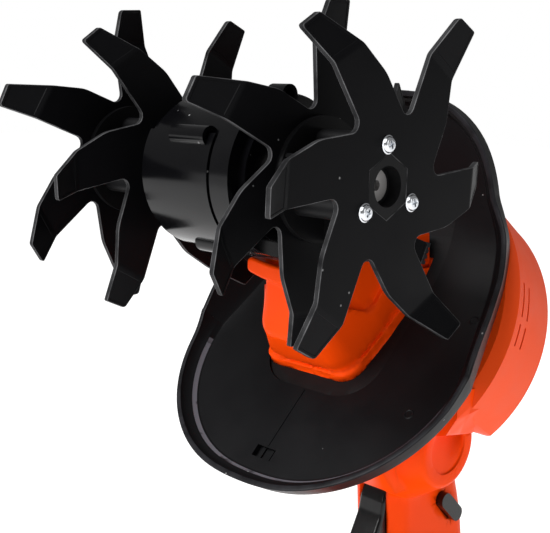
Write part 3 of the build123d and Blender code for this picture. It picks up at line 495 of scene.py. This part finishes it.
guard = bmesh.new()
wear_and_highlight = guard.faces.layers.float.new("edge")
rings = []
for lean_share, offset, height_share, added_height in rim_section:
    ring = []
    for index, point in enumerate(guard_outline):
        lean = lean_share * along_table(rim_leans, point.y)
        spot = point + outwards(guard_outline, index) * (offset + lean)
        out = height_share * along_table(rim_heights, point.y) + added_height
        ring.append(guard.verts.new(on_guard(spot.x, spot.y, out)))
    rings.append([guard.edges.new((ring[index - 1], ring[index])) for index in range(len(ring))])
for strip in range(len(rings)):
    made = bmesh.ops.bridge_loops(guard, edges=rings[strip - 1] + rings[strip])
    for face in made["faces"]:
        face[wear_and_highlight] = edge_rub if strip in edge_strips else 0.0
        # the chamfer's painted highlight, full between two depths under the shaft and fading towards both
        if strip == chamfer_strip:
            below_shaft = shaft_middle.z - face.calc_center_median().z
            growing = max(0.0, (below_shaft - chamfer_highlight_top) / chamfer_highlight_grow)
            fading = max(0.0, (chamfer_highlight_bottom - below_shaft) / chamfer_highlight_fade)
            face[wear_and_highlight] = chamfer_highlight * min(1.0, growing, fading)

# the sheet inside the rim: half of it is drawn flat, round the neck's opening and the clip slot,
# given its thickness, laid over the fold and mirrored
opening = rounded(
    [
        (-opening_half_width, opening_start, opening_corner),
        (opening_half_width, opening_start, opening_corner),
        (opening_half_width, opening_end, 0.0),
        (-opening_half_width, opening_end, 0.0),
    ],
    steps=8,
)
opening_side = sorted([point for point in opening if point.x > 0], key=lambda point: -point.y)
rim_foot = [point - outwards(guard_outline, index) * sheet_inset for index, point in enumerate(guard_outline)]
rim_foot_side = sorted([point for point in rim_foot if point.x > off_middle], key=lambda point: point.y)
half_outline = [
    (0.0, rim_foot_side[0].y), *rim_foot_side, (0.0, rim_foot_side[-1].y), (0.0, opening_end), *opening_side,
    (0.0, opening_start), (0.0, clip_slot_end), (clip_slot_half_width, clip_slot_end),
    (clip_slot_half_width, clip_slot_start), (0.0, clip_slot_start),
]
sheet = bmesh.new()
sheet.faces.layers.float.new("edge")
sheet.faces.new([sheet.verts.new((*point, 0.0)) for point in half_outline])
for row in range(fold_rows + 1):
    cut = fold_from + (fold_to - fold_from) * row / fold_rows
    cut_across(sheet, Vector((0, cut, 0)), Vector((0, 1, 0)))
pull_out(sheet, sheet.faces[:], (0, 0, sheet_thickness))
for vert in sheet.verts:
    tuck = sheet_tuck_back if vert.co.z < sheet_thickness / 2 else sheet_tuck_front
    vert.co = on_guard(vert.co.x, vert.co.y, vert.co.z + tuck)
bmesh.ops.mirror(sheet, geom=all_parts(sheet), axis="X", merge_dist=1e-6)
add_form(guard, sheet)

# the spring catch behind the clip slot, the seam in the middle, and two round marks of the mould's pins
for x, run, out, width, length, thickness in (*clip_catch, middle_seam):
    for vert in bmesh.ops.create_cube(guard, size=1.0)["verts"]:
        across, along, outward = vert.co
        vert.co = on_guard(x + across * width, run + along * length, out + (outward + 0.5) * thickness)
for x, run in pin_marks:
    mark, loops = [], []
    for radius, height in pin_mark_rings:
        circle = bmesh.ops.create_circle(
            guard, cap_ends=False, segments=pin_mark_segments, radius=radius
        )["verts"]
        bmesh.ops.translate(guard, verts=circle, vec=(0, 0, height))
        loops.append([edge for edge in guard.edges if all(vert in circle for vert in edge.verts)])
        mark += circle
    for outer_loop, inner_loop in zip(loops, loops[1:]):
        bmesh.ops.bridge_loops(guard, edges=outer_loop + inner_loop)
    for vert in mark:
        vert.co = on_guard(x + vert.co.x, run + vert.co.y, pin_mark_floor + vert.co.z)
bmesh.ops.remove_doubles(guard, verts=guard.verts, dist=1e-7)
bmesh.ops.recalc_face_normals(guard, faces=guard.faces)
fit_piece(guard, "guard_shell", "body", "guard", guard_black, angle=40)

# ---- guard collar: a thin black sheet cut to the neck's outline. It closes the gap between the neck and the
# guard's opening, so it follows the fuller foot of the neck. Its black is partly painted shade, standing in
# for the shade that falls in that gap.
fit_piece(fuller_foot("guard_collar"), "guard_collar_shell", "body", "guard_collar", dull_black, angle=35)

# ---- motor: a plain steel can behind the shoulder, held in the drum between the housing and the rear cover.
# It shows only as dark metal behind the cooling slots.
steel = grained(
    "steel", (0.30, 0.29, 0.285), (0.38, 0.55), specular=0.5, grain=0.12, vary=0.12, metallic=0.45
)
dress("motor", steel)

# ---- motor drum and cover: orange mouldings with cooling slots, a little duller than the housing.
# The housing's halves clamp the drum, and the cover closes it behind.
drum_orange = grained(
    "drum_orange", (0.90, 0.075, 0.006), (0.36, 0.52), specular=0.14, grain=0.14, vary=0.05
)
for node in ("motor_drum", "motor_cover"):
    dress(node, drum_orange)

# ---- trigger: a hollow black moulding in the front of the grip, its face dished for two fingers.
# Its edges are well rounded, and it slides back into the housing.
trigger_half_width = 0.0100
trigger_edge, trigger_edge_steps = 0.0024, 4
squarely = 0.9  # a face counts as a flat side where at least this part of its direction lies across the tool
# columns: place along Y and Z from the shaft, radius of the corner
trigger_side = (
    (0.1350, -0.1965, 0.0), (0.1215, -0.1965, 0.0030), (0.1170, -0.2060, 0.012), (0.1150, -0.2160, 0.02),
    (0.1085, -0.2290, 0.02), (0.1010, -0.2420, 0.02), (0.0985, -0.2560, 0.02), (0.1000, -0.2680, 0.008),
    (0.1070, -0.2730, 0.004), (0.1350, -0.2730, 0.0),
)
trigger_black = grained(
    "trigger_black", (0.0035, 0.0035, 0.0038), (0.16, 0.28), specular=0.35, grain=0.05, vary=0.2
)
add_effect(trigger_black, dust_group, {"Share": 0.004})
trigger = bmesh.new()
flank = trigger.faces.new([
    trigger.verts.new((-trigger_half_width, shaft_middle.y + point.x, shaft_middle.z + point.y))
    for point in rounded(trigger_side)
])
pull_out(trigger, [flank], (2 * trigger_half_width, 0, 0))
bmesh.ops.recalc_face_normals(trigger, faces=trigger.faces)
flank_edges = [
    edge for edge in trigger.edges if any(abs(face.normal.x) > squarely for face in edge.link_faces)
]
bmesh.ops.bevel(
    trigger, geom=flank_edges, offset=trigger_edge, offset_type="OFFSET", affect="EDGES",
    segments=trigger_edge_steps, profile=0.5, material=-1,
)
fit_piece(trigger, "trigger_rounded", "body", "trigger", trigger_black, angle=40)

# ---- lock-off button: a small black bar through the grip over the trigger, in the trigger's own plastic.
# It slides across to free the trigger.
dress("lock_button", trigger_black)

# ---- battery pack and latch: a black moulded pack that slides onto the foot of the grip, with an orange
# latch at its front. The tool stands on it.
dress("battery_pack", dull_black)
dress("battery_latch", orange_shell)

# ---- tine shaft: a turned steel bar that the gears drive, with a collar on each side of the gear case
# and a centre hole in each end. It carries both hubs.
dress("tine_shaft", steel)

# ---- hubs: black moulded spacers with ribs, pushed onto the shaft on each side of the gear case.
# A hexagonal nose at each end takes a tine wheel, and posts round it take the wheel's screws.
for hub in ("hub_near", "hub_far"):
    dress(hub, dull_black)

# ---- star tine wheels: four six-armed wheels pressed from sheet steel and coated satin black, their tips
# bent in and out by turns. A hexagonal hole drops over the hub's nose. The press rolls every edge over, and
# the coat is thin and pale along it; this pale colour on the rolled edges and the narrow walls is also a
# painted highlight. Each tip has a shallow sunk panel.
wheel_thickness = 0.0026
arm_count = 6
arm_pitch = 2 * pi / arm_count
# the corners of one arm's outline, from its root over its back to its tip
# columns: reach from the shaft, how far the corner lies behind the gullet's spoke, radius of the corner
arm_corners = (
    (0.0426, 0.0258, 0.024), (0.0615, 0.0200, 0.030), (0.0817, 0.0126, 0.0016), (0.0828, 0.0, 0.0016),
)
# between two arms the outline turns in a rounded gullet, whose arc stands a little off its corner
gullet_reach, gullet_radius = 0.03025, 0.0044
gullet_floor = gullet_reach + 0.0012
hexagon_reach = 0.015
edge_roll, edge_roll_steps = 0.0003, 2
# how pale the rolled edges and the narrow walls between them are painted, as worn coat and as painted
# highlight
edge_roll_wear_and_highlight, wall_wear_and_highlight = 1.0, 0.2
# each tip is bent across a line that leans against its arm. A bent sheet measures wider along the shaft
arm_lean = radians(9)
bend_start, bend_middle, bend_end = 0.0626, 0.0639, 0.0652
bend_half_step = 0.0004
bend_slope = 0.5317
bend_widening = 0.13
# the sunk panel is pressed into the broad face past the bend
panel_margin, panel_depth = 0.0010, 0.0002
panel_smallest_face, panel_slack = 1e-4, 1e-5
star_black = grained(
    "star_black", (0.0034, 0.0034, 0.0040), (0.34, 0.5), specular=0.06, grain=0.14, grain_scale=2200.0,
    vary=0.2,
)
# the paler colour on the rolled edges and walls is worn coat and painted highlight together
add_effect(star_black, rub_highlight_group, {"Rubbed And Highlight Color": (0.16, 0.16, 0.165, 1.0)})
add_effect(star_black, dust_group, {"Share": 0.008})


def star_blank(middle_x, turn, hub_turn):
    """The flat wheel with its rolled edges, in six sectors from gullet to gullet round the hexagon."""
    corners = []
    for arm in range(arm_count):
        spin = Matrix.Rotation(arm * arm_pitch + turn, 2)
        for reach, behind, radius in (*arm_corners, (gullet_reach, 0.0, gullet_radius)):
            corners.append((*(spin @ Vector((reach, -behind))), radius))
    outline = rounded(corners)
    form = bmesh.new()
    wear_and_highlight = form.faces.layers.float.new("edge")
    back_x = middle_x - wheel_thickness / 2
    rim = [form.verts.new((back_x, point.x, point.y)) for point in outline]
    gullets = []
    hexagon = []
    hexagon_turn = radians(90 + hub_turn)
    for arm in range(arm_count):
        direction = arm * arm_pitch + turn
        spot = Matrix.Rotation(direction, 2) @ Vector((gullet_floor, 0.0))
        gullets.append(min(range(len(outline)), key=lambda index: (outline[index] - spot).length))
        at = hexagon_turn + round((direction - hexagon_turn) / arm_pitch) * arm_pitch
        hexagon.append(form.verts.new((back_x, hexagon_reach * cos(at), hexagon_reach * sin(at))))
    for arm in range(arm_count):
        following = (arm + 1) % arm_count
        start, end = gullets[arm], gullets[following]
        if end < start:
            end += len(rim)
        side = [rim[index % len(rim)] for index in range(start, end + 1)]
        form.faces.new(side + [hexagon[following], hexagon[arm]])
    bmesh.ops.recalc_face_normals(form, faces=form.faces)
    pull_out(form, form.faces[:], (wheel_thickness, 0, 0))
    bmesh.ops.recalc_face_normals(form, faces=form.faces)
    # the narrow walls are painted a little paler, as worn coat and as painted highlight
    for face in form.faces:
        face[wear_and_highlight] = 0.0 if abs(face.normal.x) > squarely else wall_wear_and_highlight
    crisp = []
    for edge in form.edges:
        across = [abs(face.normal.x) for face in edge.link_faces]
        if len(across) == 2 and min(across) < 1 - squarely and max(across) > squarely:
            crisp.append(edge)
    made = bmesh.ops.bevel(
        form, geom=crisp, offset=edge_roll, offset_type="OFFSET", affect="EDGES",
        segments=edge_roll_steps, profile=0.5, material=-1,
    )
    # the rolled edges are painted pale, as worn coat and as painted highlight
    for face in made["faces"]:
        face[wear_and_highlight] = edge_roll_wear_and_highlight
    return form


def bend_tip(form, middle_x, along, side):
    """Presses the panel into one arm's tip and bends the tip to one side of the wheel."""
    for cut in (bend_start, bend_middle - bend_half_step, bend_middle + bend_half_step, bend_end):
        cut_across(form, along * cut, along)
    tips = []
    for face in form.faces:
        nearest = min(vert.co.dot(along) for vert in face.verts)
        flat = abs(face.normal.x) > squarely
        if flat and face.calc_area() > panel_smallest_face and nearest > bend_end - panel_slack:
            tips.append(face)
    bmesh.ops.inset_individual(form, faces=tips, thickness=panel_margin, depth=0.0, use_even_offset=True)
    bmesh.ops.inset_individual(
        form, faces=tips, thickness=panel_depth, depth=-panel_depth, use_even_offset=True
    )
    for vert in form.verts:
        run = vert.co.dot(along)
        if run <= bend_start:
            continue
        if run > bend_end:
            lift = bend_slope * (run - bend_middle)
        else:
            lift = bend_slope * (run - bend_start) ** 2 / (2 * (bend_end - bend_start))
        widened = 1 + bend_widening * min(1, (run - bend_start) / (bend_end - bend_start))
        vert.co.x = middle_x + (vert.co.x - middle_x) * widened + side * lift


def star_wheel(node, middle_x, arm_turn, hub_turn):
    """One wheel on the shaft, its tips bent to one side and the other by turns."""
    turn = radians(arm_turn + hub_turn)
    form = star_blank(middle_x, turn, hub_turn)
    for arm in range(arm_count):
        lean = turn + arm * arm_pitch - arm_lean
        bend_tip(form, middle_x, Vector((0.0, cos(lean), sin(lean))), side=-1 if arm % 2 == 0 else 1)
    bmesh.ops.translate(form, verts=form.verts, vec=(0, shaft_middle.y, shaft_middle.z))
    fit_piece(form, node + "_wheel", "rotor", node, star_black, angle=25)


# columns: node, place along the shaft, turn of the arms on the hub in degrees, turn of the hub in degrees
for star in (
    ("star_near_outer", 0.0947, 6.0, 0.0),
    ("star_near_inner", 0.0529, 34.9, 0.0),
    ("star_far_inner", -0.0529, 6.0, 4.7),
    ("star_far_outer", -0.0947, 34.9, 4.7),
):
    star_wheel(*star)

# ---- hub screws: steel pan heads on a thin flange, zinc-plated bright, with a cross recess.
# Three go through each wheel into the posts of its hub.
screw_count = 3
screw_circle = 0.0187
screw_steps = 24
first_screw_turn = 95
head_top = 0.0023
# columns: radius, height over the wheel's face, from the tip of the shank up to the edge of the recess
screw_profile = (
    (0.0, -0.0136), (0.0020, -0.0136), (0.0020, 0.0), (0.0042, 0.0), (0.0043, 0.0004), (0.0038, 0.0007),
    (0.0036, 0.0012), (0.0033, 0.0018), (0.0027, 0.0022), (0.0023, head_top),
)
# a quarter of the cross: the end of one slot, the inner corner and the end of the next slot
recess_quarter = ((0.0019, 0.0005), (0.0005, 0.0005), (0.0005, 0.0019))
recess_depth, recess_taper = 0.0013, 0.72
recess_turn, recess_turn_step = 0.4, 0.7
screw_steel = grained(
    "screw_steel", (0.72, 0.74, 0.77), (0.1, 0.24), specular=0.6, grain=0.25, grain_scale=900.0, vary=0.1,
    metallic=1.0,
)


def cross_screw():
    """One screw about the Z axis, its head's seat at the origin."""
    screw = bmesh.new()
    path = [screw.verts.new((0.0, reach, height)) for reach, height in screw_profile]
    edges = [screw.edges.new(pair) for pair in zip(path, path[1:])]
    bmesh.ops.spin(
        screw, geom=path + edges, cent=(0, 0, 0), axis=(0, 0, 1), angle=2 * pi, steps=screw_steps,
        use_merge=True,
    )
    bmesh.ops.remove_doubles(screw, verts=screw.verts, dist=1e-6)
    head_edge = [edge for edge in screw.edges if edge.is_boundary]
    recess = []
    for quarter in range(4):
        spin = Matrix.Rotation(quarter * pi / 2 + recess_turn, 2)
        recess += [screw.verts.new((*(spin @ Vector(point)), head_top)) for point in recess_quarter]
    recess_edges = [screw.edges.new((recess[index - 1], recess[index])) for index in range(len(recess))]
    bmesh.ops.bridge_loops(screw, edges=head_edge + recess_edges)
    walls = bmesh.ops.extrude_edge_only(screw, edges=recess_edges)
    bottom = [part for part in walls["geom"] if isinstance(part, bmesh.types.BMVert)]
    bmesh.ops.scale(screw, verts=bottom, vec=(recess_taper, recess_taper, 1.0))
    bmesh.ops.translate(screw, verts=bottom, vec=(0, 0, -recess_depth))
    bmesh.ops.contextual_create(screw, geom=bottom)
    bmesh.ops.recalc_face_normals(screw, faces=screw.faces)
    return screw


def hub_screws(node, face_x, side, hub_turn):
    """The screws of one wheel, on a circle round the shaft."""
    form = bmesh.new()
    for index in range(screw_count):
        at = radians(first_screw_turn + hub_turn + 360 / screw_count * index)
        place = Matrix.Translation((
            face_x, shaft_middle.y + screw_circle * cos(at), shaft_middle.z + screw_circle * sin(at)
        ))
        facing = Matrix.Rotation(side * pi / 2, 4, "Y") @ Matrix.Rotation(index * recess_turn_step, 4, "Z")
        screw = cross_screw()
        screw.transform(place @ facing)
        add_form(form, screw)
    fit_piece(form, node + "_crossed", "rotor", node, screw_steel, angle=30)


# columns: node, place of the wheel's face, side that the heads face, turn of the hub in degrees
for screws in (
    ("screws_near_outer", 0.09605, 1, 0.0),
    ("screws_near_inner", 0.05155, -1, 0.0),
    ("screws_far_inner", -0.05155, 1, 4.7),
    ("screws_far_outer", -0.09605, -1, 4.7),
):
    hub_screws(*screws)

# ---- studio: a pale floor in a white room, one broad soft light from above, a light panel in front and a
# weaker one on the tool's left for the gloss on the black pieces. The camera stands in front and on the
# left, about as high as the tines.
camera_data = bpy.data.cameras.new("camera")
camera_data.sensor_width = 36.0
camera_data.lens = 67.4
camera_data.clip_start = 0.01
camera = bpy.data.objects.new("camera", camera_data)
camera.location = shaft_middle + Vector((0.38515, -0.35663, 0.03884))
camera.rotation_euler = Euler((radians(80.52), radians(-1.70), radians(45.46)))
bpy.context.scene.collection.objects.link(camera)
bpy.context.scene.camera = camera
bpy.context.scene.view_settings.view_transform = "Standard"

white = (1.0, 1.0, 1.0, 1.0)
world = bpy.data.worlds.new("white_room")
world.use_nodes = True
room = world.node_tree
room_light = room.nodes["Background"]
room_light.inputs["Color"].default_value = white
room_light.inputs["Strength"].default_value = 0.24
room_seen = add_node(room, "Background", {"Color": white, "Strength": 1.0})
room_path = add_node(room, "LightPath")
room_mix = add_node(room, "MixShader")
wire(
    room,
    (room_path.outputs["Is Camera Ray"], room_mix.inputs["Fac"]),
    (room_light.outputs["Background"], room_mix.inputs[1]),
    (room_seen.outputs["Background"], room_mix.inputs[2]),
    (room_mix.outputs["Shader"], room.nodes["World Output"].inputs["Surface"]),
)
bpy.context.scene.world = world

floor_form = bmesh.new()
bmesh.ops.create_grid(floor_form, x_segments=1, y_segments=1, size=8.0)
floor_mesh = bpy.data.meshes.new("floor")
floor_form.to_mesh(floor_mesh)
floor_form.free()
floor = bpy.data.objects.new("floor", floor_mesh)
bpy.context.scene.collection.objects.link(floor)
floor_paint = bpy.data.materials.new("pale_floor")
floor_paint.use_nodes = True
floor_shader = floor_paint.node_tree.nodes["Principled BSDF"]
floor_shader.inputs["Base Color"].default_value = (0.92, 0.92, 0.92, 1.0)
floor_shader.inputs["Roughness"].default_value = 0.95
floor_shader.inputs["Specular IOR Level"].default_value = 0.1
floor_shader.inputs["Emission Color"].default_value = white
floor_shader.inputs["Emission Strength"].default_value = 0.36
floor_mesh.materials.append(floor_paint)


def add_light(data, place, towards):
    """Puts a light in the scene, turned to shine in one direction."""
    light = bpy.data.objects.new(data.name, data)
    light.location = place
    light.rotation_euler = towards.to_track_quat("-Z", "Y").to_euler()
    bpy.context.scene.collection.objects.link(light)


overhead = bpy.data.lights.new("overhead", "SUN")
overhead.energy = 2.3
overhead.angle = radians(50)
add_light(overhead, (0, 0, 0), Vector((0.22, 0.85, -1.0)))

# columns: name, place from the shaft's middle, width and height, power
for name, offset, size, power in (
    ("front_panel", (-0.45, -1.25, 0.85), (0.5, 1.3), 22),
    ("side_panel", (1.35, -0.15, 0.35), (0.5, 1.2), 2.5),
):
    panel = bpy.data.lights.new(name, "AREA")
    panel.shape = "RECTANGLE"
    panel.size, panel.size_y = size
    panel.energy = power
    add_light(panel, shaft_middle + Vector(offset), -Vector(offset))
